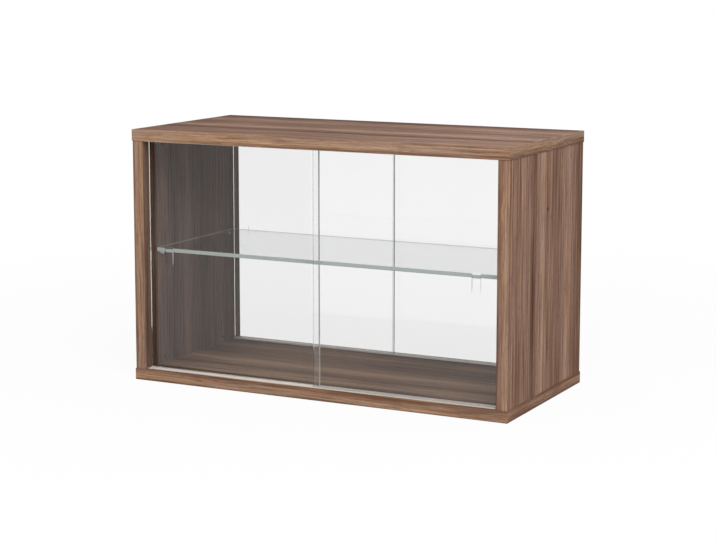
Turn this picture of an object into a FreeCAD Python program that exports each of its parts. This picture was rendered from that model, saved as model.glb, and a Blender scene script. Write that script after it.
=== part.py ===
import FreeCAD, Part
import math
import os
from types import SimpleNamespace

import Sketcher

# Display cabinet: four walnut-effect boards, glass doors that slide at the front and at the back,
# and a glass shelf on pins. +X is right, +Y is back and +Z is up, in millimetres.
# The origin is the middle of the underside.

SIZES = {
    # whole cabinet, over the edge bands
    "overall_width": 640,
    "overall_depth": 300,
    "overall_height": 400,
    # boards and their edge bands
    "board_thickness": 18,
    "board_reveal": 1,
    "band_thickness": 1,
    "band_edge_radius": 0.6,
    # two-channel tracks let into the top and bottom boards
    "track_setback": 6.5,
    "track_proud": 1,
    "track_lip": 1.5,
    "track_rib": 4,
    "track_web": 1.4,
    "channel_width": 5.5,
    "bottom_track_height": 6,
    "top_track_height": 11,
    "track_end_gap": 0.2,
    "groove_clearance": 0.1,
    # sliding glass doors
    "pane_thickness": 4,
    "pane_arris": 0.4,
    "pane_top_engagement": 3.5,
    "door_overlap": 6,
    "door_end_gap": 0.5,
    "pull_width": 14,
    "pull_height": 33,
    "pull_depth": 1.5,
    "pull_inset": 35,
    "pull_middle_height": 200,
    # nylon glides under the panes
    "glide_length": 30,
    "glide_base": 1.2,
    "glide_wall": 0.5,
    "glide_wall_height": 2.4,
    "glide_inset": 40,
    "glide_running_gap": 0.2,
    # glass shelf on four pins with clear sleeves
    "shelf_thickness": 6,
    "shelf_arris": 0.5,
    "shelf_end_gap": 1,
    "shelf_front_setback": 38,
    "shelf_rear_setback": 27,
    "pin_height": 200,
    "pin_setback": 47,
    "pin_diameter": 5,
    "pin_reach": 7,
    "pin_bore_depth": 9,
    "sleeve_clearance": 0.05,
    "sleeve_wall": 0.6,
    "sleeve_cap": 0.8,
    "sleeve_edge_radius": 0.5,
    # corner fittings: bolts locked by set screws
    "fitting_setback": 60,
    "bolt_shank_diameter": 5,
    "bolt_shank_length": 10,
    "bolt_head_diameter": 7,
    "bolt_head_length": 14,
    "bolt_neck_diameter": 5,
    "bolt_neck_length": 3,
    "screw_height": 9,
    "screw_diameter": 6,
    "screw_recess": 1,
    "screw_tip_diameter": 2.6,
    "screw_tip_gap": 0.1,
    "screw_socket_flats": 3,
    "screw_socket_depth": 2.5,
    # beech dowels beside the fittings
    "dowel_setback": 28,
    "dowel_diameter": 8,
    "dowel_length": 30,
    "dowel_board_depth": 10,
    "dowel_chamfer": 0.8,
    # play round fasteners and past their ends
    "bore_clearance": 0.1,
    "bore_end_gap": 1,
}

# Two places count as one when they are closer than this share of the board's thickness.
SAME_PLACE_SHARE = 1e-6
# A hexagon's corners lie this share of its width over flats from its middle.
HEX_CORNER_SHARE = 1 / math.sqrt(3)

SIDES = (("left", -1), ("right", 1))
FACES = (("front", -1), ("back", 1))
MIRROR_SIDES = ("YZ_Plane", "XZ_Plane")
MIRROR_CORNERS = ("YZ_Plane", "XZ_Plane", "XY_Plane")

UPRIGHT_AXIS = FreeCAD.Vector(0, 0, 1)
FACING = {
    "front": FreeCAD.Rotation(),
    "back": FreeCAD.Rotation(UPRIGHT_AXIS, 180),
    "left": FreeCAD.Rotation(UPRIGHT_AXIS, -90),
    "right": FreeCAD.Rotation(UPRIGHT_AXIS, 90),
}
UPSIDE_DOWN = FreeCAD.Rotation(FreeCAD.Vector(1, 0, 0), 180)
ON_END = FreeCAD.Rotation(FreeCAD.Vector(0, 1, 0), -90)

doc = FreeCAD.newDocument("display_cabinet")
sheet = doc.addObject("Spreadsheet::Sheet", "sizes")
sub_parts = []


class Size:
    """A length in millimetres, with the sheet formula that drives it."""

    def __init__(self, value, formula):
        self.value = value
        self.formula = formula

    def __add__(self, other):
        other = as_size(other)
        return Size(self.value + other.value, f"({self.formula} + {other.formula})")

    def __sub__(self, other):
        other = as_size(other)
        return Size(self.value - other.value, f"({self.formula} - {other.formula})")

    def __mul__(self, other):
        other = as_size(other)
        return Size(self.value * other.value, f"({self.formula} * {other.formula})")

    def __truediv__(self, other):
        other = as_size(other)
        return Size(self.value / other.value, f"({self.formula} / {other.formula})")

    def __rmul__(self, other):
        return as_size(other) * self

    def __neg__(self):
        return -1 * self


def as_size(thing):
    """A Size as it is, or a plain count or share turned into one."""
    if isinstance(thing, Size):
        return thing
    return Size(thing, f"({thing})")


def named_sizes():
    """Write every driving size into the sheet and return them by name."""
    named = SimpleNamespace()
    for row, (name, value) in enumerate(SIZES.items(), start=1):
        sheet.set(f"A{row}", name)
        sheet.set(f"B{row}", str(value))
        sheet.setAlias(f"B{row}", name)
        setattr(named, name, Size(value, f"sizes.{name}"))
    doc.recompute()
    return named


s = named_sizes()

# Places and sizes that follow from the driving ones.
half_width = s.overall_width / 2
half_depth = s.overall_depth / 2
half_board = s.board_thickness / 2
inner_width = s.overall_width - 2 * (s.board_reveal + s.board_thickness)
inner_height = s.overall_height - 2 * s.board_thickness
inner_face = inner_width / 2
side_middle = inner_face + half_board
side_front = half_depth - s.board_reveal
track_width = 2 * (s.track_lip + s.channel_width) + s.track_rib
track_middle = half_depth - s.track_setback - track_width / 2
channel_pitch = s.channel_width + s.track_rib
bottom_lips = s.board_thickness + s.track_proud
top_lips = s.overall_height - s.board_thickness - s.track_proud
pane_low = bottom_lips - s.bottom_track_height + s.track_web + s.glide_running_gap + s.glide_base
pane_height = top_lips + s.pane_top_engagement - pane_low
door_width = inner_face + s.door_overlap / 2 - s.door_end_gap
door_middle = inner_face - s.door_end_gap - door_width / 2
sleeve_bore = s.pin_diameter + 2 * s.sleeve_clearance
sleeve_diameter = sleeve_bore + 2 * s.sleeve_wall
shelf_low = s.pin_height + sleeve_diameter / 2
pin_place = half_depth - s.pin_setback
fitting_place = half_depth - s.fitting_setback
dowel_place = half_depth - s.dowel_setback
dowel_bore = s.dowel_diameter + 2 * s.bore_clearance
dowel_side_depth = s.dowel_length - s.dowel_board_depth


def bind(thing, path, size):
    """Drive one property of an object from the sheet."""
    thing.setExpression(path, as_size(size).formula)


def new_body(label, turn=FreeCAD.Rotation(), at=(0, 0, 0)):
    """Start a sub-part: its label, how it is turned and where it stands."""
    body = doc.addObject("PartDesign::Body", label)
    body.Label = label
    body.Placement = FreeCAD.Placement(FreeCAD.Vector(), turn)
    for axis, size in zip("xyz", at):
        bind(body, f"Placement.Base.{axis}", size)
    sub_parts.append(body)
    return body


def origin_plane(body, role):
    """One of the body's own origin planes."""
    return next(plane for plane in body.Origin.OriginFeatures if plane.Role == role)


def new_sketch(body, role, offset=0):
    """An empty sketch on an origin plane, moved along the plane's normal."""
    sketch = body.newObject("Sketcher::SketchObject", "sketch")
    sketch.AttachmentSupport = [(origin_plane(body, role), "")]
    sketch.MapMode = "FlatFace"
    bind(sketch, "AttachmentOffset.Base.z", offset)
    return sketch


def fix_point(sketch, geometry, point, place):
    """Hold a sketch point at a driven place, measured from the sketch's origin."""
    for kind, axis, size in zip(("DistanceX", "DistanceY"), (-2, -1), place):
        if isinstance(size, Size):
            held = Sketcher.Constraint(kind, -1, 1, geometry, point, size.value)
            bind(sketch, f"Constraints[{sketch.addConstraint(held)}]", size)
        else:
            sketch.addConstraint(Sketcher.Constraint("PointOnObject", geometry, point, axis))


def draw_outline(sketch, points):
    """A closed outline of straight lines through driven points."""
    corners = [FreeCAD.Vector(as_size(x).value, as_size(y).value, 0) for x, y in points]
    lines = []
    for start, end in zip(corners, corners[1:] + corners[:1]):
        lines.append(sketch.addGeometry(Part.LineSegment(start, end), False))
    for line, after in zip(lines, lines[1:] + lines[:1]):
        sketch.addConstraint(Sketcher.Constraint("Coincident", line, 2, after, 1))
    for line, place in zip(lines, points):
        fix_point(sketch, line, 1, place)


def draw_rectangle(sketch, low, high):
    """A rectangle between two driven corners."""
    draw_outline(sketch, [low, (high[0], low[1]), high, (low[0], high[1])])


def draw_circle(sketch, centre, diameter):
    """A circle of a driven diameter about a driven centre."""
    middle = FreeCAD.Vector(as_size(centre[0]).value, as_size(centre[1]).value, 0)
    round_line = Part.Circle(middle, UPRIGHT_AXIS, diameter.value / 2)
    circle = sketch.addGeometry(round_line, False)
    held = Sketcher.Constraint("Diameter", circle, diameter.value)
    bind(sketch, f"Constraints[{sketch.addConstraint(held)}]", diameter)
    fix_point(sketch, circle, 3, centre)


def add_pad(body, sketch, length, sides="One side"):
    """Raise a sketch along its normal, or to both sides of it."""
    pad = body.newObject("PartDesign::Pad", "pad")
    pad.Profile = sketch
    pad.SideType = sides
    bind(pad, "Length", length)
    doc.recompute()
    return pad


def add_pocket(body, sketch, depth, sides="One side", along_normal=False):
    """Sink a sketch into the body, and make sure that it cuts."""
    before = body.Shape.Volume
    pocket = body.newObject("PartDesign::Pocket", "pocket")
    pocket.Profile = sketch
    pocket.SideType = sides
    pocket.Reversed = along_normal
    bind(pocket, "Length", depth)
    doc.recompute()
    if not body.Shape.Volume < before:
        raise RuntimeError(f"{body.Label}: a pocket cuts nothing")


def add_edge_finish(body, kind, base, size, wanted):
    """Chamfer or fillet those edges of a feature that a test picks."""
    picked = [f"Edge{i}" for i, edge in enumerate(base.Shape.Edges, start=1) if wanted(edge)]
    finish = body.newObject(f"PartDesign::{kind}", kind.lower())
    finish.Base = (base, picked)
    bind(finish, "Radius" if kind == "Fillet" else "Size", size)
    doc.recompute()


def add_mirrors(body, roles):
    """Repeat the whole piece in each of the body's named planes in turn."""
    repeat = body.newObject("PartDesign::MultiTransform", "repeat")
    repeat.TransformMode = "Whole shape"
    mirrors = []
    for role in roles:
        mirror = body.newObject("PartDesign::Mirrored", "mirror")
        mirror.MirrorPlane = (origin_plane(body, role), [""])
        mirrors.append(mirror)
    repeat.Transformations = mirrors
    body.Tip = repeat
    doc.recompute()


def same_place(first, second):
    """Whether two measures agree."""
    return abs(first - second) < SAME_PLACE_SHARE * s.board_thickness.value


def is_closed(edge):
    """Whether an edge is a full circle."""
    return len(edge.Vertexes) == 1


def any_edge(edge):
    """Every edge of a piece."""
    return True


def cap_board(label, track_height, turn, height):
    """Top or bottom board: its inner face passes through the body's origin and faces local +Z."""
    body = new_body(label, turn, (0, 0, height))
    x_end = half_width - s.band_thickness
    y_end = half_depth - s.band_thickness
    blank = new_sketch(body, "XY_Plane", -s.board_thickness)
    draw_rectangle(blank, (-x_end, -y_end), (x_end, y_end))
    add_pad(body, blank, s.board_thickness)
    grooves = new_sketch(body, "XY_Plane")
    reach = track_width / 2 + s.groove_clearance
    for _, sign in FACES:
        middle = sign * track_middle
        draw_rectangle(grooves, (-inner_face, middle - reach), (inner_face, middle + reach))
    add_pocket(body, grooves, track_height - s.track_proud)
    bolt_bore = s.bolt_shank_diameter + 2 * s.bore_clearance
    for place, bore, depth in (
        (fitting_place, bolt_bore, s.bolt_shank_length),
        (dowel_place, dowel_bore, s.dowel_board_depth),
    ):
        bores = new_sketch(body, "XY_Plane")
        for _, x_sign in SIDES:
            for _, y_sign in FACES:
                draw_circle(bores, (x_sign * side_middle, y_sign * place), bore)
        add_pocket(body, bores, depth + s.bore_end_gap)


def side_board(label, turn, x):
    """Side board: it stands on the body's origin, with its inner face towards local +X."""
    body = new_body(label, turn, (x, 0, s.board_thickness))
    y_end = side_front - s.band_thickness
    blank = new_sketch(body, "YZ_Plane", -half_board)
    draw_rectangle(blank, (-y_end, 0), (y_end, inner_height))
    add_pad(body, blank, s.board_thickness)
    bolt_bore = s.bolt_head_diameter + 2 * s.bore_clearance
    for level, upwards in ((0, True), (inner_height, False)):
        for place, bore, depth in (
            (fitting_place, bolt_bore, s.bolt_head_length),
            (dowel_place, dowel_bore, dowel_side_depth),
        ):
            bores = new_sketch(body, "XY_Plane", level)
            for _, y_sign in FACES:
                draw_circle(bores, (0, y_sign * place), bore)
            add_pocket(body, bores, depth + s.bore_end_gap, along_normal=upwards)
    screws = new_sketch(body, "YZ_Plane", half_board)
    pins = new_sketch(body, "YZ_Plane", half_board)
    for _, y_sign in FACES:
        pin_spot = (y_sign * pin_place, s.pin_height - s.board_thickness)
        draw_circle(pins, pin_spot, s.pin_diameter + 2 * s.bore_clearance)
        for level in (s.screw_height, inner_height - s.screw_height):
            draw_circle(screws, (y_sign * fitting_place, level), s.screw_diameter + 2 * s.bore_clearance)
    add_pocket(body, screws, half_board)
    add_pocket(body, pins, s.pin_bore_depth + s.bore_end_gap)


def edge_band(label, length, turn, at, round_ends=False):
    """Edge band: a strip as wide as the board is thick, its outer face at local y = 0, its edges eased."""
    body = new_body(label, turn, at)
    strip = new_sketch(body, "XY_Plane")
    draw_rectangle(strip, (-length / 2, 0), (length / 2, s.band_thickness))
    base = add_pad(body, strip, s.board_thickness, "Symmetric")

    def is_outer(edge):
        box = edge.BoundBox
        across = same_place(box.XMin, box.XMax)
        return same_place(box.YMax, 0) and (round_ends or not across)

    add_edge_finish(body, "Fillet", base, s.band_edge_radius, is_outer)


def cap_board_bands(name, height):
    """The four bands round the top or bottom board; the long ones cover the ends of the short ones."""
    for face, sign in FACES:
        at = (0, sign * half_depth, height)
        edge_band(f"{name}_{face}_edge_band", s.overall_width, FACING[face], at, round_ends=True)
    short = s.overall_depth - 2 * s.band_thickness
    for side, sign in SIDES:
        at = (sign * half_width, 0, height)
        edge_band(f"{name}_{side}_edge_band", short, FACING[side], at)


def side_board_bands(name, x):
    """The upright bands on the front and back edges of a side board."""
    for face, sign in FACES:
        turn = FACING[face].multiply(ON_END)
        at = (x, sign * side_front, s.overall_height / 2)
        edge_band(f"{name}_{face}_edge_band", inner_height, turn, at)


def track(label, height, turn, y, z):
    """Two-channel rail, extruded: its lips end at the body's origin and its web lies below them."""
    body = new_body(label, turn, (0, y, z))
    section = new_sketch(body, "YZ_Plane")
    outer = track_width / 2
    wall = outer - s.track_lip
    rib = s.track_rib / 2
    floor = s.track_web - height
    draw_outline(section, [
        (-outer, -height), (outer, -height), (outer, 0), (wall, 0), (wall, floor), (rib, floor),
        (rib, 0), (-rib, 0), (-rib, floor), (-wall, floor), (-wall, 0), (-outer, 0),
    ])
    add_pad(body, section, inner_width - 2 * s.track_end_gap, "Symmetric")


def door(label, turn, at, pull_sign):
    """Glass pane with ground arrises and a finger pull, wheel-cut into its outer face at local -Y."""
    body = new_body(label, turn, at)
    half_pane = s.pane_thickness / 2
    blank = new_sketch(body, "XY_Plane")
    draw_rectangle(blank, (-door_width / 2, -half_pane), (door_width / 2, half_pane))
    pane = add_pad(body, blank, pane_height)
    add_edge_finish(body, "Chamfer", pane, s.pane_arris, any_edge)
    wheel_radius = (s.pull_height * s.pull_height / 4 + s.pull_depth * s.pull_depth) / (2 * s.pull_depth)
    wheel_centre = (s.pull_depth - half_pane - wheel_radius, s.pull_middle_height - pane_low)
    cut = new_sketch(body, "YZ_Plane", pull_sign * (door_width / 2 - s.pull_inset))
    draw_circle(cut, wheel_centre, 2 * wheel_radius)
    add_pocket(body, cut, s.pull_width, "Symmetric")


def door_glides(label, turn, at):
    """Two nylon shoes, clipped on the lower edge of the pane."""
    body = new_body(label, turn, at)
    inner = s.pane_thickness / 2
    outer = inner + s.glide_wall
    base = -s.glide_base
    top = s.glide_wall_height
    section = new_sketch(body, "YZ_Plane", door_width / 2 - s.glide_inset)
    draw_outline(section, [
        (-outer, base), (outer, base), (outer, top), (inner, top),
        (inner, 0), (-inner, 0), (-inner, top), (-outer, top),
    ])
    add_pad(body, section, s.glide_length, "Symmetric")
    add_mirrors(body, ["YZ_Plane"])


def glass_shelf():
    """Glass shelf with ground arrises, lying on the sleeves of the pins."""
    body = new_body("glass_shelf", at=(0, 0, shelf_low))
    x_end = inner_face - s.shelf_end_gap
    front = s.shelf_front_setback - half_depth
    back = half_depth - s.shelf_rear_setback
    blank = new_sketch(body, "XY_Plane")
    draw_rectangle(blank, (-x_end, front), (x_end, back))
    plate = add_pad(body, blank, s.shelf_thickness)
    add_edge_finish(body, "Chamfer", plate, s.shelf_arris, any_edge)


def add_round(body, role, centre, start, end, diameter):
    """A round length of a piece, along a plane's normal."""
    sketch = new_sketch(body, role, start)
    draw_circle(sketch, centre, diameter)
    return add_pad(body, sketch, end - start)


def shelf_pins():
    """Steel pins, half in the side board and half under the shelf."""
    body = new_body("shelf_pins", at=(0, 0, s.pin_height))
    inside = -inner_face - s.pin_bore_depth
    add_round(body, "YZ_Plane", (-pin_place, 0), inside, s.pin_reach - inner_face, s.pin_diameter)
    add_mirrors(body, MIRROR_SIDES)


def shelf_pin_sleeves():
    """Clear caps over the free ends of the pins, on which the glass lies."""
    body = new_body("shelf_pin_sleeves", at=(0, 0, s.pin_height))
    hollow_end = s.pin_reach + s.sleeve_clearance - inner_face
    outer_end = hollow_end + s.sleeve_cap
    blank = add_round(body, "YZ_Plane", (-pin_place, 0), -inner_face, outer_end, sleeve_diameter)

    def is_tip(edge):
        return is_closed(edge) and same_place(edge.BoundBox.XMin, outer_end.value)

    add_edge_finish(body, "Fillet", blank, s.sleeve_edge_radius, is_tip)
    hollow = new_sketch(body, "YZ_Plane", hollow_end)
    draw_circle(hollow, (-pin_place, 0), sleeve_bore)
    add_pocket(body, hollow, s.pin_reach + s.sleeve_clearance)
    add_mirrors(body, MIRROR_SIDES)


def connector_bolts():
    """Steel bolts: a shank in the top or bottom board and a necked head in the side board's end."""
    body = new_body("connector_bolts", at=(0, 0, s.overall_height / 2))
    centre = (-side_middle, -fitting_place)
    joint = -inner_height / 2
    neck_low = joint + s.screw_height - s.bolt_neck_length / 2
    neck_top = neck_low + s.bolt_neck_length
    add_round(body, "XY_Plane", centre, joint - s.bolt_shank_length, joint, s.bolt_shank_diameter)
    add_round(body, "XY_Plane", centre, joint, neck_low, s.bolt_head_diameter)
    add_round(body, "XY_Plane", centre, neck_low, neck_top, s.bolt_neck_diameter)
    add_round(body, "XY_Plane", centre, neck_top, joint + s.bolt_head_length, s.bolt_head_diameter)
    add_mirrors(body, MIRROR_CORNERS)


def connector_set_screws():
    """Set screws, driven in from the side board's inner face against the necks of the bolts."""
    body = new_body("connector_set_screws", at=(0, 0, s.overall_height / 2))
    y = -fitting_place
    z = s.screw_height - inner_height / 2
    tip = s.bolt_neck_diameter / 2 + s.screw_tip_gap - side_middle
    shoulder = s.bolt_head_diameter / 2 + s.screw_tip_gap - side_middle
    mouth = -inner_face - s.screw_recess
    add_round(body, "YZ_Plane", (y, z), tip, shoulder, s.screw_tip_diameter)
    add_round(body, "YZ_Plane", (y, z), shoulder, mouth, s.screw_diameter)
    corner = HEX_CORNER_SHARE * s.screw_socket_flats
    flat = s.screw_socket_flats / 2
    socket = new_sketch(body, "YZ_Plane", mouth)
    draw_outline(socket, [
        (y - corner, z), (y - corner / 2, z - flat), (y + corner / 2, z - flat),
        (y + corner, z), (y + corner / 2, z + flat), (y - corner / 2, z + flat),
    ])
    add_pocket(body, socket, s.screw_socket_depth)
    add_mirrors(body, MIRROR_CORNERS)


def corner_dowels():
    """Beech dowels across the joints of the side boards with the top and bottom boards."""
    body = new_body("corner_dowels", at=(0, 0, s.overall_height / 2))
    joint = -inner_height / 2
    centre = (-side_middle, -dowel_place)
    low = joint - s.dowel_board_depth
    stick = add_round(body, "XY_Plane", centre, low, joint + dowel_side_depth, s.dowel_diameter)
    add_edge_finish(body, "Chamfer", stick, s.dowel_chamfer, is_closed)
    add_mirrors(body, MIRROR_CORNERS)


def assemble():
    """Build every sub-part in its place."""
    cap_board("bottom_panel", s.bottom_track_height, FreeCAD.Rotation(), s.board_thickness)
    cap_board("top_panel", s.top_track_height, UPSIDE_DOWN, s.overall_height - s.board_thickness)
    cap_board_bands("bottom", half_board)
    cap_board_bands("top", s.overall_height - half_board)
    for side, sign in SIDES:
        turn = FACING["front"] if side == "left" else FACING["back"]
        side_board(f"{side}_side_panel", turn, sign * side_middle)
        side_board_bands(side, sign * side_middle)
    for face, sign in FACES:
        y = sign * track_middle
        track(f"{face}_bottom_track", s.bottom_track_height, FreeCAD.Rotation(), y, bottom_lips)
        track(f"{face}_top_track", s.top_track_height, UPSIDE_DOWN, y, top_lips)
        for side, x_sign in SIDES:
            # Right-hand doors run in the outer channel and left-hand doors in the inner one.
            at = (x_sign * door_middle, y + sign * x_sign * channel_pitch / 2, pane_low)
            door(f"{face}_{side}_door", FACING[face], at, -sign * x_sign)
            door_glides(f"{face}_{side}_door_glides", FACING[face], at)
    shelf_pins()
    shelf_pin_sleeves()
    glass_shelf()
    connector_bolts()
    connector_set_screws()
    corner_dowels()


def write_parts():
    """Check every object and shape, then write one file for each sub-part."""
    doc.recompute()
    for thing in doc.Objects:
        if "Invalid" in thing.State or "Error" in thing.State:
            raise RuntimeError(f"{thing.Label} failed: {thing.State}")
    for part in sub_parts:
        if part.Shape.isNull() or not part.Shape.isValid():
            raise RuntimeError(f"{part.Label} has no valid shape")
    os.makedirs("parts", exist_ok=True)
    for part in sub_parts:
        part.Shape.exportStep(f"parts/{part.Label}.step")


assemble()
write_parts()
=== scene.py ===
import math

import bmesh
import bpy
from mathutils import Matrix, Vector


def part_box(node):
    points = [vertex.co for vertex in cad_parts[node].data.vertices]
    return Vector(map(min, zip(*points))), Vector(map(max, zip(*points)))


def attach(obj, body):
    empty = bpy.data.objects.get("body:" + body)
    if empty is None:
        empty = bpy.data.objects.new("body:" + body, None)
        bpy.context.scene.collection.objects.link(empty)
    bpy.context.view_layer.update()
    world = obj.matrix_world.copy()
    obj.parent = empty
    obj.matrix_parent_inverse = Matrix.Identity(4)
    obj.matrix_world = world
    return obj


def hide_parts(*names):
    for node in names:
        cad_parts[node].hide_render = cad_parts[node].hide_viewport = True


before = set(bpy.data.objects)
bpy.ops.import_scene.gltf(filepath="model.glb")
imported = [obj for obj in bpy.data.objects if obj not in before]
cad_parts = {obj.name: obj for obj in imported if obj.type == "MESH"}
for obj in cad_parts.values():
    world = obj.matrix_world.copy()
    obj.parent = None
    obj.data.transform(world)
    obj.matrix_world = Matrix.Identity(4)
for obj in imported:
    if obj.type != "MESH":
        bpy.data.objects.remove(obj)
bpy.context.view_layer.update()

# Camera: a long lens to the right of the cabinet's front, a little above its top.
# Its place and angles come from the vanishing lines of the cabinet's straight edges.
view_width = 716
view_focal = 1880.5
view_axis_height = 230
view_middle_height = 270
camera_dip = math.radians(8.33)
camera_turn = math.radians(27)
camera_data = bpy.data.cameras.new("camera")
camera_data.sensor_width = 36
camera_data.lens = view_focal / view_width * camera_data.sensor_width
camera_data.shift_y = (view_axis_height - view_middle_height) / view_width
camera = bpy.data.objects.new("camera", camera_data)
camera.location = (1.3292, -2.6053, 0.6704)
camera.rotation_euler = (math.radians(90) - camera_dip, 0, camera_turn)
bpy.context.collection.objects.link(camera)
bpy.context.scene.camera = camera

# Bottom board, two side boards and top board: 18 mm particleboard, pressed with a walnut-effect foil
# whose printed grain runs along each board. Every board is cut from the same print, so the same dark
# and light streaks come back on all four.
MM = 0.001


def linear(hex_colour):
    """An sRGB hex colour as linear red, green, blue and alpha."""
    parts = [int(hex_colour[i:i + 2], 16) / 255 for i in (1, 3, 5)]
    return [p / 12.92 if p <= 0.04045 else ((p + 0.055) / 1.055) ** 2.4 for p in parts] + [1]


def add(tree, kind, inputs=None, **settings):
    """Adds a node with its settings; inputs are values or sockets, by name or number."""
    made = tree.nodes.new(kind)
    for name, value in settings.items():
        setattr(made, name, value)
    for key, value in (inputs or {}).items():
        if isinstance(value, bpy.types.NodeSocket):
            tree.links.new(value, made.inputs[key])
        else:
            made.inputs[key].default_value = value
    return made


def new_material(name):
    """An empty material and its node tree."""
    material = bpy.data.materials.new(name)
    material.use_nodes = True
    material.node_tree.nodes.clear()
    return material, material.node_tree


def dress(material, *nodes):
    """Puts a material on carried-over pieces."""
    for node in nodes:
        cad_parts[node].material_slots[0].material = material


def fill_ramp(ramp, stops):
    """Sets a colour ramp's stops, as places with their colours."""
    while len(ramp.elements) > 1:
        ramp.elements.remove(ramp.elements[-1])
    ramp.elements[0].position, ramp.elements[0].color = stops[0]
    for place, colour in stops[1:]:
        ramp.elements.new(place).color = colour


# Printed walnut: darker and lighter stretches at set places across the sheet, long streaks of several
# widths, some of them warmer or cooler, and short dark pores. On some boards and bands those stretches
# also hold painted light and shade. The foil is matt with a fine embossed grain, so it hardly shines.
# These sizes are mm across the grain and along it.
hue_streak = (7, 180)
warmer, cooler = "#FFFAEB", "#F7FCFF"
knot_size = (4.2, 3)
knot_darkness = 0.6
# Real pores are 0.2 mm wide; they are drawn 1.1 mm wide so that they show.
pore_size = (1.1, 12)
emboss_depth = 0.13 * MM
drift_width = 110
middle_tone = 0.5


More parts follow.
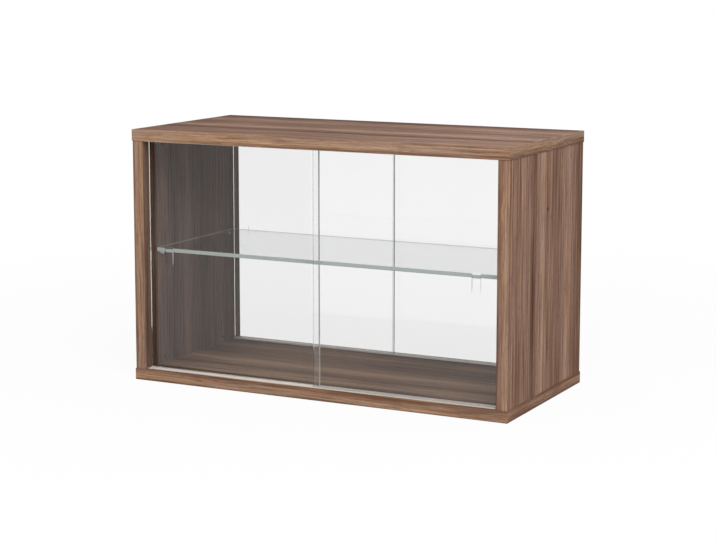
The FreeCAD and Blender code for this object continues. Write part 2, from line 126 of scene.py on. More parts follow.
def walnut(name, grain, across, tones, streaks, shades, sway, sway_length, lengthwise=None, knot=None):
    """Tones are (mm across the sheet, lighter or darker), and lengthwise the same along it.

    Streaks are (mm across, mm along, weight), and sway is how far the grain strays sideways, in mm.
    """
    material, tree = new_material(name)
    place = add(tree, "ShaderNodeTexCoord").outputs["Object"]

    def scale_for(width, length):
        scale = [1 / (width * MM)] * 3
        scale[grain] = 1 / (length * MM)
        return scale

    # Noise strays about a quarter of its range to each side of its middle.
    reach = [4 * sway * MM] * 3
    reach[grain] = 0
    drift = add(tree, "ShaderNodeMapping", {"Vector": place, "Scale": scale_for(drift_width, sway_length)})
    drift = add(tree, "ShaderNodeTexNoise", {"Vector": drift.outputs[0], "Scale": 1, "Detail": 1})
    drift = add(tree, "ShaderNodeVectorMath", {0: drift.outputs["Color"], 1: (0.5, 0.5, 0.5)},
                operation="SUBTRACT")
    drift = add(tree, "ShaderNodeVectorMath", {0: drift.outputs[0], 1: reach, 2: place},
                operation="MULTIPLY_ADD")
    swayed = drift.outputs[0]

    def tone_along(axis, changes):
        low, high = changes[0][0], changes[-1][0]
        spot = add(tree, "ShaderNodeSeparateXYZ", {0: swayed}).outputs[axis]
        spot = add(tree, "ShaderNodeMapRange", {"Value": spot, "From Min": low * MM,
                                                "From Max": high * MM})
        ramp = add(tree, "ShaderNodeValToRGB", {"Fac": spot.outputs[0]})
        ramp.color_ramp.interpolation = "EASE"
        fill_ramp(ramp.color_ramp, [((at - low) / (high - low), [middle_tone + change] * 3 + [1])
                                    for at, change in changes])
        return ramp.outputs["Color"]

    middle_of_streaks = sum(weight for _, _, weight in streaks) / 2
    tone = add(tree, "ShaderNodeMath", {0: tone_along(across, tones), 1: middle_of_streaks},
               operation="SUBTRACT").outputs[0]
    if lengthwise:
        tone = add(tree, "ShaderNodeMath", {0: tone, 1: tone_along(grain, lengthwise)}, operation="ADD")
        tone = add(tree, "ShaderNodeMath", {0: tone.outputs[0], 1: middle_tone},
                   operation="SUBTRACT").outputs[0]
    for number, (width, length, weight) in enumerate(streaks):
        streak = add(tree, "ShaderNodeMapping", {"Vector": swayed, "Scale": scale_for(width, length),
                                                 "Location": (7 * number, 3 * number, 5 * number)})
        streak = add(tree, "ShaderNodeTexNoise", {"Vector": streak.outputs[0], "Scale": 1, "Detail": 2,
                                                  "Roughness": 0.55})
        tone = add(tree, "ShaderNodeMath", {0: streak.outputs["Fac"], 1: weight, 2: tone},
                   operation="MULTIPLY_ADD").outputs[0]
    if knot:
        ring = add(tree, "ShaderNodeVectorMath", {0: swayed, 1: [k * MM for k in knot]},
                   operation="SUBTRACT")
        ring = add(tree, "ShaderNodeMapping", {"Vector": ring.outputs[0], "Scale": scale_for(*knot_size)})
        ring = add(tree, "ShaderNodeVectorMath", {0: ring.outputs[0]}, operation="LENGTH")
        ring = add(tree, "ShaderNodeMapRange", {"Value": ring.outputs["Value"], "From Min": 0.5,
                                                "From Max": 1.1, "To Min": knot_darkness,
                                                "To Max": 0})
        tone = add(tree, "ShaderNodeMath", {0: tone, 1: ring.outputs[0]},
                   operation="SUBTRACT").outputs[0]
    print_colour = add(tree, "ShaderNodeValToRGB", {"Fac": tone})
    last = len(shades) - 1
    fill_ramp(print_colour.color_ramp, [(i / last, linear(shade)) for i, shade in enumerate(shades)])
    hue = add(tree, "ShaderNodeMapping", {"Vector": swayed, "Scale": scale_for(*hue_streak)})
    hue = add(tree, "ShaderNodeTexNoise", {"Vector": hue.outputs[0], "Scale": 1, "Detail": 2})
    tint = add(tree, "ShaderNodeValToRGB", {"Fac": hue.outputs["Fac"]})
    fill_ramp(tint.color_ramp, [(0.36, linear(warmer)), (0.64, linear(cooler))])
    tinted = add(tree, "ShaderNodeMix", {"Factor": 1, "A": print_colour.outputs["Color"],
                                         "B": tint.outputs["Color"]},
                 data_type="RGBA", blend_type="MULTIPLY")
    pores = add(tree, "ShaderNodeMapping", {"Vector": swayed, "Scale": scale_for(*pore_size)})
    pores = add(tree, "ShaderNodeTexNoise", {"Vector": pores.outputs[0], "Scale": 1, "Detail": 1})
    pores = add(tree, "ShaderNodeMapRange", {"Value": pores.outputs["Fac"], "From Min": 0.56,
                                             "From Max": 0.72, "To Max": 0.5})
    colour = add(tree, "ShaderNodeMix", {"Factor": pores.outputs[0], "A": tinted.outputs["Result"],
                                         "B": linear(shades[0])}, data_type="RGBA")
    emboss = add(tree, "ShaderNodeBump", {"Height": pores.outputs[0], "Strength": 0.5,
                                          "Distance": emboss_depth}, invert=True)
    gloss = add(tree, "ShaderNodeMapRange", {"Value": tone, "To Min": 0.66, "To Max": 0.56})
    foil = add(tree, "ShaderNodeBsdfPrincipled", {"Base Color": colour.outputs["Result"],
                                                  "Specular IOR Level": 0.03,
                                                  "Roughness": gloss.outputs[0],
                                                  "Normal": emboss.outputs[0]})
    add(tree, "ShaderNodeOutputMaterial", {"Surface": foil.outputs[0]})
    return material


along_x, along_y, along_z = 0, 1, 2
foil_shades = ("#51392F", "#6A4E40", "#826355", "#997969", "#AE8E7C")
foil_streaks = ((22, 1400, 0.15), (9, 900, 0.15), (5.5, 300, 0.65), (4, 180, 0.6), (2.4, 130, 1.7))
soft_streaks = ((22, 1400, 0.15), (9, 900, 0.15), (5.5, 300, 0.45), (4, 180, 0.4), (2.4, 130, 1.2))
# Each board's tones from its front edge to its back edge, and two boards' slow changes along them.
top_tones = ((-150, 0.1), (-116, -0.02), (-98, 0.08), (-76, 0.05), (-57, -0.31), (-38, 0.05),
             (-18, 0.29), (2, 0.02), (40, -0.1), (66, 0.01), (87, 0.18), (108, 0.02),
             (128, -0.29), (140, -0.4), (150, -0.65))
# The bottom's tones are print with painted light and shade: a painted pool of lamp light over its front
# half, and a painted shadow of the front track near its front edge.
bottom_tones_and_painted_light = ((-150, 0.14), (-116, -0.28), (-98, 0.45), (-76, 0.33), (-57, -0.1), (-38, 0.31),
                (-18, 0.62), (2, 0.18), (40, -0.1), (66, 0.04), (87, 0.25), (108, -0.08),
                (128, -0.48), (140, -0.3), (150, -0.5))
# The left board's tones are print with painted shade: darker overall, and darkest at its front, before the
# doors, where shade falls.
left_tones_and_painted_shade = ((-150, -0.1), (-138, -0.16), (-118, -0.12), (-108, 0.06), (-98, 0.04), (-76, -0.08),
              (-57, -0.28), (-38, -0.06), (-18, 0.18), (2, -0.1), (40, -0.2), (66, -0.1), (87, 0.04),
              (108, -0.16), (128, -0.36), (140, -0.3), (150, -0.5))
right_tones = ((-150, 0.02), (-134, 0.14), (-114, 0), (-98, 0.12), (-76, 0.1), (-63, -0.02),
               (-56, -0.36), (-51, -0.18), (-46, -0.14), (-38, 0.15), (-28, 0.2), (-17, 0.52),
               (-10, 0.21), (2, -0.02), (10, 0.14), (30, -0.03), (50, -0.05), (66, 0.1), (86, 0.31),
               (100, 0.16), (118, -0.05), (130, -0.14), (142, -0.06), (150, -0.45))
# Along the bottom: the left board's painted shadow darkens its left end, and a painted pool of light lies
# to the right of it.
bottom_painted_shade_along = ((-302, -0.32), (-270, -0.24), (-240, -0.14), (-210, -0.03), (-180, 0.03), (-120, 0.08),
                 (-60, 0.06), (0, -0.02), (60, -0.09), (120, -0.06), (200, 0.02), (302, 0.02))
# Along the top: a painted sheen, lighter towards its right end.
top_painted_sheen_along = ((-320, -0.1), (-232, -0.05), (58, -0.02), (116, 0.03), (180, 0.11), (320, 0.12))
knot_place = (319, 1, 295)
# The bottom's shades are warmer than the print, as painted warm light bounced inside the cabinet; their
# lightest shade leaves room for the painted pool of light.
painted_warm_light_shades = ("#54392A", "#6D4E3B", "#86634D", "#9D7960", "#BE9A7E")
# The left board's shades are cooler and greyer than the print, a painted change in the colour of the light
# on its dim inside face.
painted_cool_light_shades = ("#4F3B33", "#685044", "#806659", "#977C6C", "#AC9180")
board_sway_length = 320
# The left board's print is a little softer, and the right board's runs straighter.
boards = (("bottom_panel", along_x, bottom_tones_and_painted_light, foil_streaks, painted_warm_light_shades, 3, bottom_painted_shade_along, None),
          ("left_side_panel", along_z, left_tones_and_painted_shade, soft_streaks, painted_cool_light_shades, 3, None, None),
          ("right_side_panel", along_z, right_tones, foil_streaks, foil_shades, 1.2, None, knot_place),
          ("top_panel", along_x, top_tones, foil_streaks, foil_shades, 3, top_painted_sheen_along, None))
for board, grain, tones, streaks, shades, sway, lengthwise, knot in boards:
    foil = walnut(f"walnut_foil_{board}", grain, along_y, tones, streaks, shades, sway,
                  board_sway_length, lengthwise, knot)
    dress(foil, board)

# Edge bands: 1 mm strips with the same walnut print, glued round the cut edges. They are drawn a shade
# lighter, partly as painted light for the stronger light on their front faces.
# Each run is cut from another place of the print, and its outer edges are scraped to a small radius.
band_shades = ("#654A3B", "#826354", "#9C7D68", "#AF9079", "#C6A790")
band_streaks = ((4.5, 300, 0.7), (1.8, 120, 0.9), (0.9, 60, 0.5))
# Tones across each run, and the slow change along the top's front and back.
top_run = ((382, -0.26), (386, -0.22), (389, 0.08), (392, 0.02), (396, 0.05), (400, -0.1))
top_end_run = ((382, -0.34), (387, -0.2), (393, 0), (400, 0))
# Both bottom runs darken sharply at their lowest mm: a painted contact shadow along the floor.
bottom_run_and_painted_shadow = ((0, -0.5), (2, -0.2), (4, 0), (10, -0.14), (15, -0.28), (18, -0.38))
bottom_end_run_and_painted_shadow = ((0, -0.7), (3, -0.25), (12, -0.14), (15, -0.36), (18, -0.4))
left_run = ((-320, -0.4), (-316, -0.16), (-312.5, 0.02), (-308, -0.12), (-302, -0.1))
right_run = ((302, -0.36), (307, -0.27), (311, -0.2), (313.5, 0.05), (316, -0.15), (320, -0.1))
top_run_length = ((-320, 0.16), (-180, 0.1), (-120, 0.02), (120, 0), (180, -0.09), (320, -0.13))
band_sway_length = 140
bands = (("top", "front", "back", along_x, along_z, top_run, 1.5, top_run_length),
         ("top", "left", "right", along_y, along_z, top_end_run, 4, None),
         ("bottom", "front", "back", along_x, along_z, bottom_run_and_painted_shadow, 1.5, None),
         ("bottom", "left", "right", along_y, along_z, bottom_end_run_and_painted_shadow, 1.5, None),
         ("left", "front", "back", along_z, along_x, left_run, 1.5, None),
         ("right", "front", "back", along_z, along_x, right_run, 1.5, None))
for board, first_edge, second_edge, grain, across, run, sway, lengthwise in bands:
    band = walnut(f"walnut_band_{board}_{first_edge}", grain, across, run, band_streaks, band_shades,
                  sway, band_sway_length, lengthwise)
    dress(band, f"{board}_{first_edge}_edge_band", f"{board}_{second_edge}_edge_band")

# Corner dowels: eight fluted beech sticks, glued into the ends of the side boards and into the
# top and bottom boards. Each has straight flutes for the glue and a chamfer at both ends.


def corner_tree():
    """Geometry nodes that put one piece at the cabinet's four or eight corners, turned to suit."""
    tree = bpy.data.node_groups.new("at_the_corners", "GeometryNodeTree")
    lengths = ("Half width", "Front", "Back", "Low", "High")
    sockets = [("Geometry", "Geometry"), ("Count", "Int")]
    sockets += [(length, "Float") for length in lengths]
    sockets += [("Material", "Material")]
    for name, kind in sockets:
        tree.interface.new_socket(name=name, in_out="INPUT", socket_type="NodeSocket" + kind)
    tree.interface.new_socket(name="Geometry", in_out="OUTPUT", socket_type="NodeSocketGeometry")
    given = add(tree, "NodeGroupInput").outputs
    index = add(tree, "GeometryNodeInputIndex").outputs[0]
    side = add(tree, "ShaderNodeMath", {0: index, 1: 2}, operation="MODULO").outputs[0]
    half_index = add(tree, "ShaderNodeMath", {0: index, 1: 2}, operation="DIVIDE").outputs[0]
    half_index = add(tree, "ShaderNodeMath", {0: half_index}, operation="FLOOR").outputs[0]
    face = add(tree, "ShaderNodeMath", {0: half_index, 1: 2}, operation="MODULO").outputs[0]
    level = add(tree, "ShaderNodeMath", {0: index, 1: 3.5}, operation="GREATER_THAN").outputs[0]
    left = add(tree, "ShaderNodeMath", {0: given["Half width"], 1: -1}, operation="MULTIPLY").outputs[0]
    x = add(tree, "ShaderNodeMapRange", {"Value": side, "To Min": left, "To Max": given["Half width"]})
    y = add(tree, "ShaderNodeMapRange", {"Value": face, "To Min": given["Front"], "To Max": given["Back"]})
    z = add(tree, "ShaderNodeMapRange", {"Value": level, "To Min": given["Low"], "To Max": given["High"]})
    corner = add(tree, "ShaderNodeCombineXYZ", {0: x.outputs[0], 1: y.outputs[0], 2: z.outputs[0]})
    points = add(tree, "GeometryNodePoints", {"Count": given["Count"], "Position": corner.outputs[0]})
    upside_down = add(tree, "ShaderNodeMath", {0: level, 1: math.pi}, operation="MULTIPLY").outputs[0]
    turned_round = add(tree, "ShaderNodeMath", {0: side, 1: math.pi}, operation="MULTIPLY").outputs[0]
    turn = add(tree, "ShaderNodeCombineXYZ", {0: upside_down, 2: turned_round})
    turn = add(tree, "FunctionNodeEulerToRotation", {0: turn.outputs[0]})
    copies = add(tree, "GeometryNodeInstanceOnPoints", {"Points": points.outputs[0],
                                                        "Instance": given["Geometry"],
                                                        "Rotation": turn.outputs[0]})
    real = add(tree, "GeometryNodeRealizeInstances", {0: copies.outputs[0]})
    finished = add(tree, "GeometryNodeSetMaterial", {"Geometry": real.outputs[0],
                                                     "Material": given["Material"]})
    add(tree, "NodeGroupOutput", {0: finished.outputs[0]})
    return tree


at_the_corners = corner_tree()


def put_at_corners(name, mesh, material, **sizes):
    """One piece, made of copies of a mesh at the cabinet's corners."""
    piece = bpy.data.objects.new(name, mesh)
    bpy.context.collection.objects.link(piece)
    modifier = piece.modifiers.new("corners", "NODES")
    modifier.node_group = at_the_corners
    sockets = {item.name: item.identifier for item in at_the_corners.interface.items_tree
               if item.in_out == "INPUT"}
    modifier[sockets["Material"]] = material
    for size, value in sizes.items():
        modifier[sockets[size.replace("_", " ").capitalize()]] = value
    solved = piece.evaluated_get(bpy.context.evaluated_depsgraph_get())
    finished = bpy.data.meshes.new_from_object(solved)
    piece.modifiers.clear()
    piece.data = finished
    finished.name = name
    return piece


def turned_mesh(name, profile, axis, sides, flute_count=0, flute_depth=0):
    """A closed turned shape: profile is (place along the axis, radius); flutes thin its widest rings."""
    shape = bmesh.new()
    widest = max(radius for _, radius in profile)
    rings = []
    for along, radius in profile:
        ring = []
        for k in range(sides):
            angle = 2 * math.pi * k / sides
            reach = radius
            if flute_count and radius == widest:
                reach -= flute_depth * max(0, math.cos(flute_count * angle))
            point = [reach * math.cos(angle), reach * math.sin(angle)]
            point.insert(axis, along)
            ring.append(shape.verts.new(point))
        rings.append(ring)
    for first, second in zip(rings, rings[1:]):
        for k in range(sides):
            shape.faces.new((first[k], first[(k + 1) % sides], second[(k + 1) % sides], second[k]))
    shape.faces.new(rings[0])
    shape.faces.new(rings[-1])
    bmesh.ops.recalc_face_normals(shape, faces=shape.faces)
    for face in shape.faces:
        face.smooth = len(face.verts) == 4
    mesh = bpy.data.meshes.new(name)
    shape.to_mesh(mesh)
    shape.free()
    return mesh


# Beech: pale, close-grained wood with short dark flecks; it is turned and left bare, so it is matt.
beech, tree = new_material("beech_bare")
place = add(tree, "ShaderNodeTexCoord").outputs["Object"]
fleck_width = 0.5 * MM
fleck_length = 4 * MM
fleck = add(tree, "ShaderNodeMapping", {"Vector": place,
                                        "Scale": (1 / fleck_width, 1 / fleck_width, 1 / fleck_length)})
fleck = add(tree, "ShaderNodeTexNoise", {"Vector": fleck.outputs[0], "Scale": 1, "Detail": 2})
colour = add(tree, "ShaderNodeValToRGB", {"Fac": fleck.outputs["Fac"]})
fill_ramp(colour.color_ramp, [(0.3, linear("#A87F55")), (0.5, linear("#CBA479")),
                              (0.75, linear("#DDBB93"))])
fibre_depth = 0.05 * MM
fibre = add(tree, "ShaderNodeBump", {"Height": fleck.outputs["Fac"], "Strength": 0.4,
                                     "Distance": fibre_depth})
wood = add(tree, "ShaderNodeBsdfPrincipled", {"Base Color": colour.outputs["Color"], "Roughness": 0.65,
                                              "Normal": fibre.outputs[0]})
add(tree, "ShaderNodeOutputMaterial", {"Surface": wood.outputs[0]})

dowel_low, dowel_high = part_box("corner_dowels")
dowel_radius = 4 * MM
dowel_length = 30 * MM
dowel_chamfer = 0.8 * MM
dowel_flutes = 18
dowel_flute_depth = 0.3 * MM
dowel_sides = 4 * dowel_flutes
dowel_profile = [(0, dowel_radius - dowel_chamfer), (dowel_chamfer, dowel_radius),
                 (dowel_length - dowel_chamfer, dowel_radius), (dowel_length, dowel_radius - dowel_chamfer)]
dowel_mesh = turned_mesh("dowel", dowel_profile, along_z, dowel_sides, dowel_flutes, dowel_flute_depth)
dowels = put_at_corners("fluted_dowels", dowel_mesh, beech, count=8,
                        half_width=dowel_high.x - dowel_radius,
                        front=dowel_low.y + dowel_radius, back=dowel_high.y - dowel_radius,
                        low=dowel_low.z, high=dowel_high.z)
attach(dowels, "carcass")
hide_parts("corner_dowels")

# Corner bolts and their set screws: steel, turned, plated and blackened. The screws are driven from
# inside the side boards with a hexagon key, and their mouths show as small dark dots.

# Black plating on steel: dull and a little blotchy.
blotch_size = 1.5 * MM
plated, tree = new_material("steel_black_plated")
place = add(tree, "ShaderNodeTexCoord").outputs["Object"]
blotch = add(tree, "ShaderNodeTexNoise", {"Vector": place, "Scale": 1 / blotch_size, "Detail": 3})
colour = add(tree, "ShaderNodeValToRGB", {"Fac": blotch.outputs["Fac"]})
fill_ramp(colour.color_ramp, [(0.3, linear("#2B2A29")), (0.7, linear("#4A4846"))])
wear = add(tree, "ShaderNodeMapRange", {"Value": blotch.outputs["Fac"], "To Min": 0.5, "To Max": 0.3})
steel = add(tree, "ShaderNodeBsdfPrincipled", {"Base Color": colour.outputs["Color"], "Metallic": 1,
                                               "Roughness": wear.outputs[0]})
add(tree, "ShaderNodeOutputMaterial", {"Surface": steel.outputs[0]})
dress(plated, "connector_bolts", "connector_set_screws")

# Door tracks: extruded aluminium with two channels, satin anodised, pressed into grooves in the
# bottom and top boards. The doors run in them.

# Anodised aluminium: pale and satin, with the die's fine lines along its length. They are under
# 0.1 mm apart, and are drawn 0.4 mm apart so that they show.
die_line_gap = 0.4 * MM
die_line_length = 300 * MM
die_line_depth = 0.02 * MM
anodised, tree = new_material("aluminium_satin_anodised")
place = add(tree, "ShaderNodeTexCoord").outputs["Object"]
lines = add(tree, "ShaderNodeMapping", {"Vector": place, "Scale": (1 / die_line_length, 1 / die_line_gap,
                                                                   1 / die_line_gap)})
lines = add(tree, "ShaderNodeTexNoise", {"Vector": lines.outputs[0], "Scale": 1, "Detail": 2})
satin = add(tree, "ShaderNodeMapRange", {"Value": lines.outputs["Fac"], "To Min": 0.5, "To Max": 0.7})
colour = add(tree, "ShaderNodeValToRGB", {"Fac": lines.outputs["Fac"]})
fill_ramp(colour.color_ramp, [(0.3, linear("#E6E1DB")), (0.7, linear("#F2EDE7"))])
ridge = add(tree, "ShaderNodeBump", {"Height": lines.outputs["Fac"], "Strength": 0.3,
                                     "Distance": die_line_depth})
metal = add(tree, "ShaderNodeBsdfPrincipled", {"Base Color": colour.outputs["Color"], "Metallic": 0.5,
                                               "Roughness": satin.outputs[0], "Normal": ridge.outputs[0]})
add(tree, "ShaderNodeOutputMaterial", {"Surface": metal.outputs[0]})
dress(anodised, "front_bottom_track", "front_top_track", "back_bottom_track", "back_top_track")

# Shelf pins: four 5 mm steel pins, bright zinc plated, pushed into holes in the side boards.
# Each has a chamfered nose.

# Bright zinc: it shines, with faint rings left by turning.
ring_gap = 0.3 * MM
ring_length = 4 * MM
zinc, tree = new_material("steel_bright_zinc")
place = add(tree, "ShaderNodeTexCoord").outputs["Object"]
turning = add(tree, "ShaderNodeMapping", {"Vector": place,
                                          "Scale": (1 / ring_gap, 1 / ring_length, 1 / ring_length)})
turning = add(tree, "ShaderNodeTexNoise", {"Vector": turning.outputs[0], "Scale": 1, "Detail": 2})
satin = add(tree, "ShaderNodeMapRange", {"Value": turning.outputs["Fac"], "To Min": 0.1, "To Max": 0.25})
colour = add(tree, "ShaderNodeValToRGB", {"Fac": turning.outputs["Fac"]})
fill_ramp(colour.color_ramp, [(0.3, linear("#A6A7A9")), (0.7, linear("#C4C5C7"))])
steel = add(tree, "ShaderNodeBsdfPrincipled", {"Base Color": colour.outputs["Color"], "Metallic": 1,
                                               "Roughness": satin.outputs[0]})
add(tree, "ShaderNodeOutputMaterial", {"Surface": steel.outputs[0]})

pin_low, pin_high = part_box("shelf_pins")
pin_radius = 2.5 * MM
pin_length = 16 * MM
pin_chamfer = 0.5 * MM
pin_sides = 32
pin_profile = [(0, pin_radius - pin_chamfer), (pin_chamfer, pin_radius),
               (pin_length - pin_chamfer, pin_radius), (pin_length, pin_radius - pin_chamfer)]
pin_mesh = turned_mesh("pin", pin_profile, along_x, pin_sides)
pin_places = {"count": 4, "front": pin_low.y + pin_radius, "back": pin_high.y - pin_radius,
              "low": pin_low.z + pin_radius, "high": pin_low.z + pin_radius}
pins = put_at_corners("zinc_shelf_pins", pin_mesh, zinc, half_width=pin_high.x, **pin_places)
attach(pins, "carcass")
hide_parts("shelf_pins")

# Pin sleeves: clear soft plastic caps over the free ends of the pins, so that the glass shelf lies
# on plastic and doesn't slide. They are moulded, with a rounded nose and a flat rim at the board.

# Clear soft plastic: see-through, but a little hazy.
haze_size = 1.2 * MM
soft_clear, tree = new_material("soft_plastic_clear")
place = add(tree, "ShaderNodeTexCoord").outputs["Object"]
cloud = add(tree, "ShaderNodeTexNoise", {"Vector": place, "Scale": 1 / haze_size, "Detail": 2})
haze = add(tree, "ShaderNodeMapRange", {"Value": cloud.outputs["Fac"], "To Min": 0.06, "To Max": 0.16})
plastic = add(tree, "ShaderNodeBsdfPrincipled", {"Base Color": linear("#EEF1F1"),
                                                 "Roughness": haze.outputs[0],
                                                 "IOR": 1.49, "Transmission Weight": 0.92})
add(tree, "ShaderNodeOutputMaterial", {"Surface": plastic.outputs[0]})
dress(soft_clear, "shelf_pin_sleeves")

# Glass shelf: 6 mm clear float glass, cut to size, its edges ground and polished with a fine arris.
# It lies loose on the four sleeved pins.


def sees_through(tree, surface, clear_share):
    """Lets lamp light and bounced light straight through a glass, so that what it shuts in is lit."""
    path = add(tree, "ShaderNodeLightPath").outputs
    soft = add(tree, "ShaderNodeMath", {0: path["Is Shadow Ray"], 1: path["Is Diffuse Ray"]},
               operation="MAXIMUM")
    through = add(tree, "ShaderNodeBsdfTransparent", {"Color": [clear_share] * 3 + [1]})
    both = add(tree, "ShaderNodeMixShader", {0: soft.outputs[0], 1: surface, 2: through.outputs[0]})
    add(tree, "ShaderNodeOutputMaterial", {"Surface": both.outputs[0]})


# Clear float glass: fire-polished faces, so mirror-smooth. A thick plate takes up a little light, and
# looks faintly grey and green.
shelf_clear_share = 0.95
shelf_glass, tree = new_material("float_glass_thick")
clear = add(tree, "ShaderNodeBsdfPrincipled", {"Base Color": linear("#DCDEDD"), "Roughness": 0, "IOR": 1.45,
                                               "Transmission Weight": 1})
sees_through(tree, clear.outputs[0], shelf_clear_share)

# Ground glass: light that has run along inside a plate comes out here, pale and a little milky.
grinding_mark = 0.8 * MM
ground_clear_share = 0.85


def ground_edge(name, colour, clear_weight):
    """The glass of a ground edge."""
    material, tree = new_material(name)
    place = add(tree, "ShaderNodeTexCoord").outputs["Object"]
    marks = add(tree, "ShaderNodeTexNoise", {"Vector": place, "Scale": 1 / grinding_mark, "Detail": 2})
    milky = add(tree, "ShaderNodeMapRange", {"Value": marks.outputs["Fac"], "To Min": 0.15, "To Max": 0.4})
    edge = add(tree, "ShaderNodeBsdfPrincipled", {"Base Color": linear(colour),
                                                  "Roughness": milky.outputs[0],
                                                  "IOR": 1.45, "Transmission Weight": clear_weight})
    sees_through(tree, edge.outputs[0], ground_clear_share)
    return material


shelf_edge = ground_edge("float_glass_ground_edge_thick", "#DFECE5", 0.15)


def glass_plate(name, low, high, arris, finishes, pull=None, ground_end=None):
    """A plate with arrises; finishes are the glass of its faces, its edges and its ground end."""
    shape = bmesh.new()
    corners = {}
    for x in (0, 1):
        for y in (0, 1):
            for z in (0, 1):
                for flat in range(3):
                    point = [(low, high)[side][axis] + (0 if axis == flat else arris * (1 - 2 * side))
                             for axis, side in enumerate((x, y, z))]
                    corners[(x, y, z), flat] = shape.verts.new(point)
    faces, edges, ground = range(3)

    def face(verts, finish):
        made = shape.faces.new(verts)
        made.material_index = finish
        return made

    def corner(axis, side, u, v):
        spot = [0, 0, 0]
        spot[axis], spot[(axis + 1) % 3], spot[(axis + 2) % 3] = side, u, v
        return tuple(spot)

    loop = ((0, 0), (1, 0), (1, 1), (0, 1))
    thin = min(range(3), key=lambda axis: high[axis] - low[axis])
    for axis in range(3):
        for side in (0, 1):
            rim = [corners[corner(axis, side, u, v), axis] for u, v in loop]
            if pull and axis == thin and side == (pull["facing"] > 0):
                cut_pull(face, shape, rim, pull, (low, high)[side][axis], faces)
            elif axis == thin:
                face(rim, faces)
            else:
                face(rim, ground if axis == along_x and side == ground_end else edges)
        for u in (0, 1):
            for v in (0, 1):
                ends = corner(axis, 0, u, v), corner(axis, 1, u, v)
                flats = (axis + 1) % 3, (axis + 2) % 3
                face([corners[ends[0], flats[0]], corners[ends[1], flats[0]],
                      corners[ends[1], flats[1]], corners[ends[0], flats[1]]], edges)
    for spot in {spot for spot, _ in corners}:
        face([corners[spot, flat] for flat in range(3)], edges)
    bmesh.ops.recalc_face_normals(shape, faces=shape.faces)
    for edge in shape.edges:
        edge.smooth = all(flank.smooth for flank in edge.link_faces)
    mesh = bpy.data.meshes.new(name)
    shape.to_mesh(mesh)
    shape.free()
    for finish in finishes:
        mesh.materials.append(finish)
    piece = bpy.data.objects.new(name, mesh)
    bpy.context.collection.objects.link(piece)
    return piece


shelf_arris = 0.5 * MM
shelf = glass_plate("shelf_plate", *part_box("glass_shelf"), shelf_arris, (shelf_glass, shelf_edge))
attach(shelf, "carcass")
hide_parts("glass_shelf")

# Sliding doors: 4 mm clear float glass with polished edges, two at the front and two at the back. The
# meeting edges of the front left and back right doors are ground. A finger pull is cut into each outer
# face by a narrow grinding wheel, so its ends run out to nothing.
pull_steps = 24


def cut_pull(face, shape, rim, pull, y, polished):
    """The outer face of a door round its pull, with the pull's curved floor and its two flat walls."""
    middle_x, middle_z = pull["middle"]
    half_width = pull["width"] / 2
    half_height = pull["height"] / 2
    depth = pull["depth"]
    radius = (half_height ** 2 + depth ** 2) / (2 * depth)
    walls = {}
    for side in (-1, 1):
        wall = []
        for k in range(pull_steps + 1):
            up = half_height * (2 * k / pull_steps - 1)
            sunk = math.sqrt(radius ** 2 - up ** 2) - (radius - depth)
            point = (middle_x + side * half_width, y - pull["facing"] * sunk, middle_z + up)
            wall.append(shape.verts.new(point))
        walls[side] = wall
        face(wall, polished)
    for k in range(pull_steps):
        floor = face([walls[-1][k], walls[1][k], walls[1][k + 1], walls[-1][k + 1]], polished)
        floor.smooth = True
    hole = {(side, end): walls[side][end and -1] for side in (-1, 1) for end in (0, 1)}
    outer = {}
    for vert in rim:
        outer[1 if vert.co.x > middle_x else -1, 1 if vert.co.z > middle_z else 0] = vert
    ring = ((-1, 0), (1, 0), (1, 1), (-1, 1))
    for k in range(4):
        first, second = ring[k], ring[(k + 1) % 4]
        face([outer[first], outer[second], hole[second], hole[first]], polished)


# Thin clear float glass, with faces as smooth as the shelf's. Part of the light that falls on the panes
# is turned away, so the inside is darker than the outside.
pane_clear_share = 0.67
pane_glass, tree = new_material("float_glass_thin")
clear = add(tree, "ShaderNodeBsdfPrincipled", {"Base Color": linear("#F9F9F9"), "Roughness": 0, "IOR": 1.41,
                                               "Transmission Weight": 1})
sees_through(tree, clear.outputs[0], pane_clear_share)
pane_edge = ground_edge("float_glass_ground_edge_thin", "#FBF6F0", 0)

pane_arris = 0.4 * MM
pull_width = 14 * MM
pull_height = 33 * MM
pull_depth = 1.5 * MM
pull_inset = 35 * MM
pull_middle_height = 200 * MM
left_end, right_end = 0, 1
ground_ends = {"front_left_door": right_end, "back_right_door": left_end}
for face_name, facing in (("front", -1), ("back", 1)):
    for side_name in ("left", "right"):
        door = f"{face_name}_{side_name}_door"
        pane_low, pane_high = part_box(door)
        pull_x = pane_low.x + pull_inset if side_name == "left" else pane_high.x - pull_inset
        pull = {"middle": (pull_x, pull_middle_height), "width": pull_width, "height": pull_height,
                "depth": pull_depth, "facing": facing}
        pane = glass_plate(f"{door}_pane", pane_low, pane_high, pane_arris,
                           (pane_glass, pane_glass, pane_edge), pull, ground_ends.get(door))
        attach(pane, door)
        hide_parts(door)

# Door glides: two white nylon shoes clipped on the lower edge of each pane, which slide in the track.
# They are moulded, with a slightly waxy, mottled surface.
mottle_size = 2 * MM
nylon, tree = new_material("nylon_natural")
place = add(tree, "ShaderNodeTexCoord").outputs["Object"]
mottle = add(tree, "ShaderNodeTexNoise", {"Vector": place, "Scale": 1 / mottle_size, "Detail": 2})
colour = add(tree, "ShaderNodeValToRGB", {"Fac": mottle.outputs["Fac"]})
fill_ramp(colour.color_ramp, [(0.3, linear("#DAD8CF")), (0.7, linear("#E9E7DF"))])
waxy = add(tree, "ShaderNodeMapRange", {"Value": mottle.outputs["Fac"], "To Min": 0.35, "To Max": 0.55})
shoe = add(tree, "ShaderNodeBsdfPrincipled", {"Base Color": colour.outputs["Color"], "IOR": 1.53,
                                              "Roughness": waxy.outputs[0]})
add(tree, "ShaderNodeOutputMaterial", {"Surface": shoe.outputs[0]})
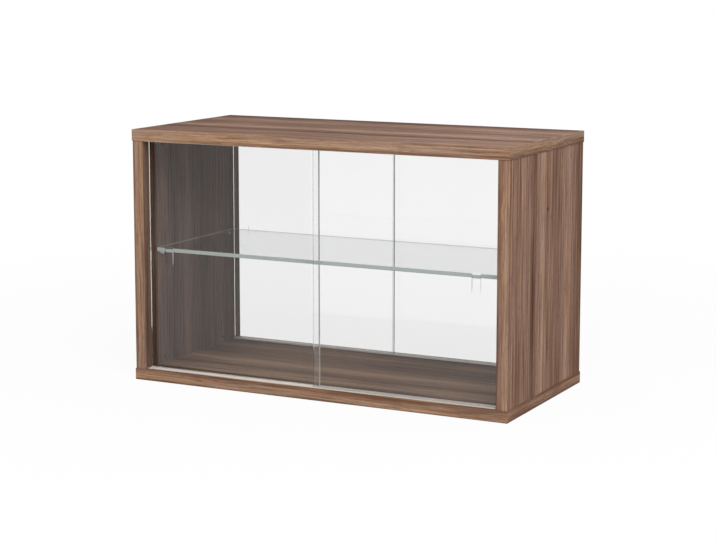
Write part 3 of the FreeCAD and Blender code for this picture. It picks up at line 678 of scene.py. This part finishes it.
for face_name in ("front", "back"):
    for side_name in ("left", "right"):
        dress(nylon, f"{face_name}_{side_name}_door_glides")

# Floor: a wide white studio sheet that keeps the cabinet's soft shadow.
# The eye, mirrors and glass see it nearly white; bounced light sees plain white paper, and so do
# mirrors far from the cabinet, where the lamp hardly reaches.
floor_half = 12
floor_drop = 0.2 * MM
near_white = 0.93
near_end, white_from = 0.5, 1.8
lamp_end, unlit_from = 1.9, 2.8


def seen_by_eye(tree, path):
    """1 for what the eye sees, straight, in a mirror or through glass, and 0 for bounced light."""
    seen = path["Is Camera Ray"]
    for ray in ("Is Glossy Ray", "Is Transmission Ray"):
        seen = add(tree, "ShaderNodeMath", {0: seen, 1: path[ray]}, operation="MAXIMUM").outputs[0]
    return seen


floor_mesh = bpy.data.meshes.new("floor")
floor_mesh.from_pydata([(-floor_half, -floor_half, 0), (floor_half, -floor_half, 0),
                        (floor_half, floor_half, 0), (-floor_half, floor_half, 0)], [], [(0, 1, 2, 3)])
floor = bpy.data.objects.new("floor", floor_mesh)
floor.location.z = -floor_drop
bpy.context.collection.objects.link(floor)
paper, tree = new_material("paper_white")
path = add(tree, "ShaderNodeLightPath").outputs
seen = seen_by_eye(tree, path)
distance = add(tree, "ShaderNodeTexCoord").outputs["Object"]
distance = add(tree, "ShaderNodeVectorMath", {0: distance}, operation="LENGTH").outputs["Value"]
away = add(tree, "ShaderNodeMapRange", {"Value": distance, "From Min": near_end, "From Max": white_from,
                                        "To Min": near_white, "To Max": 1},
           interpolation_type="SMOOTHSTEP")
lift = add(tree, "ShaderNodeMath", {0: seen, 1: away.outputs[0]}, operation="MULTIPLY")
far = add(tree, "ShaderNodeMapRange", {"Value": distance, "From Min": lamp_end, "From Max": unlit_from},
          interpolation_type="SMOOTHSTEP")
mirrored = add(tree, "ShaderNodeMath", {0: path["Is Glossy Ray"], 1: path["Is Transmission Ray"]},
               operation="SUBTRACT", use_clamp=True)
unlit = add(tree, "ShaderNodeMath", {0: far.outputs[0], 1: mirrored.outputs[0]}, operation="MULTIPLY")
lift = add(tree, "ShaderNodeMath", {0: lift.outputs[0], 1: unlit.outputs[0]}, operation="SUBTRACT",
           use_clamp=True)
sheet = add(tree, "ShaderNodeBsdfDiffuse", {"Color": linear("#F2F2F2")})
white = add(tree, "ShaderNodeEmission", {"Color": (1, 1, 1, 1), "Strength": 1})
both = add(tree, "ShaderNodeMixShader", {0: lift.outputs[0], 1: sheet.outputs[0], 2: white.outputs[0]})
add(tree, "ShaderNodeOutputMaterial", {"Surface": both.outputs[0]})
floor_mesh.materials.append(paper)

# Studio light: a white room that lights evenly from all round, and one large soft lamp
# in front of the cabinet, above the camera.
room = bpy.data.worlds.new("studio_room")
room.use_nodes = True
tree = room.node_tree
tree.nodes.clear()
path = add(tree, "ShaderNodeLightPath").outputs
seen = seen_by_eye(tree, path)
room_level = 0.5
level = add(tree, "ShaderNodeMapRange", {"Value": seen, "To Min": room_level, "To Max": 1})
walls = add(tree, "ShaderNodeBackground", {"Color": (1, 1, 1, 1), "Strength": level.outputs[0]})
add(tree, "ShaderNodeOutputWorld", {"Surface": walls.outputs[0]})
bpy.context.scene.world = room
lamp_data = bpy.data.lights.new("soft_lamp", "AREA")
lamp_data.shape = "SQUARE"
lamp_data.size = 2.4
lamp_data.energy = 112
lamp = bpy.data.objects.new("soft_lamp", lamp_data)
lamp.location = (1.5, -2.3, 2.75)
lamp.rotation_euler = (math.radians(48), 0, math.radians(33))
bpy.context.collection.objects.link(lamp)
bpy.context.scene.view_settings.view_transform = "Standard"
# Light runs along inside the glass plates with many reflections before it leaves by an edge.
bounces = bpy.context.scene.cycles
bounces.max_bounces = 32
bounces.glossy_bounces = 20
bounces.transmission_bounces = 24
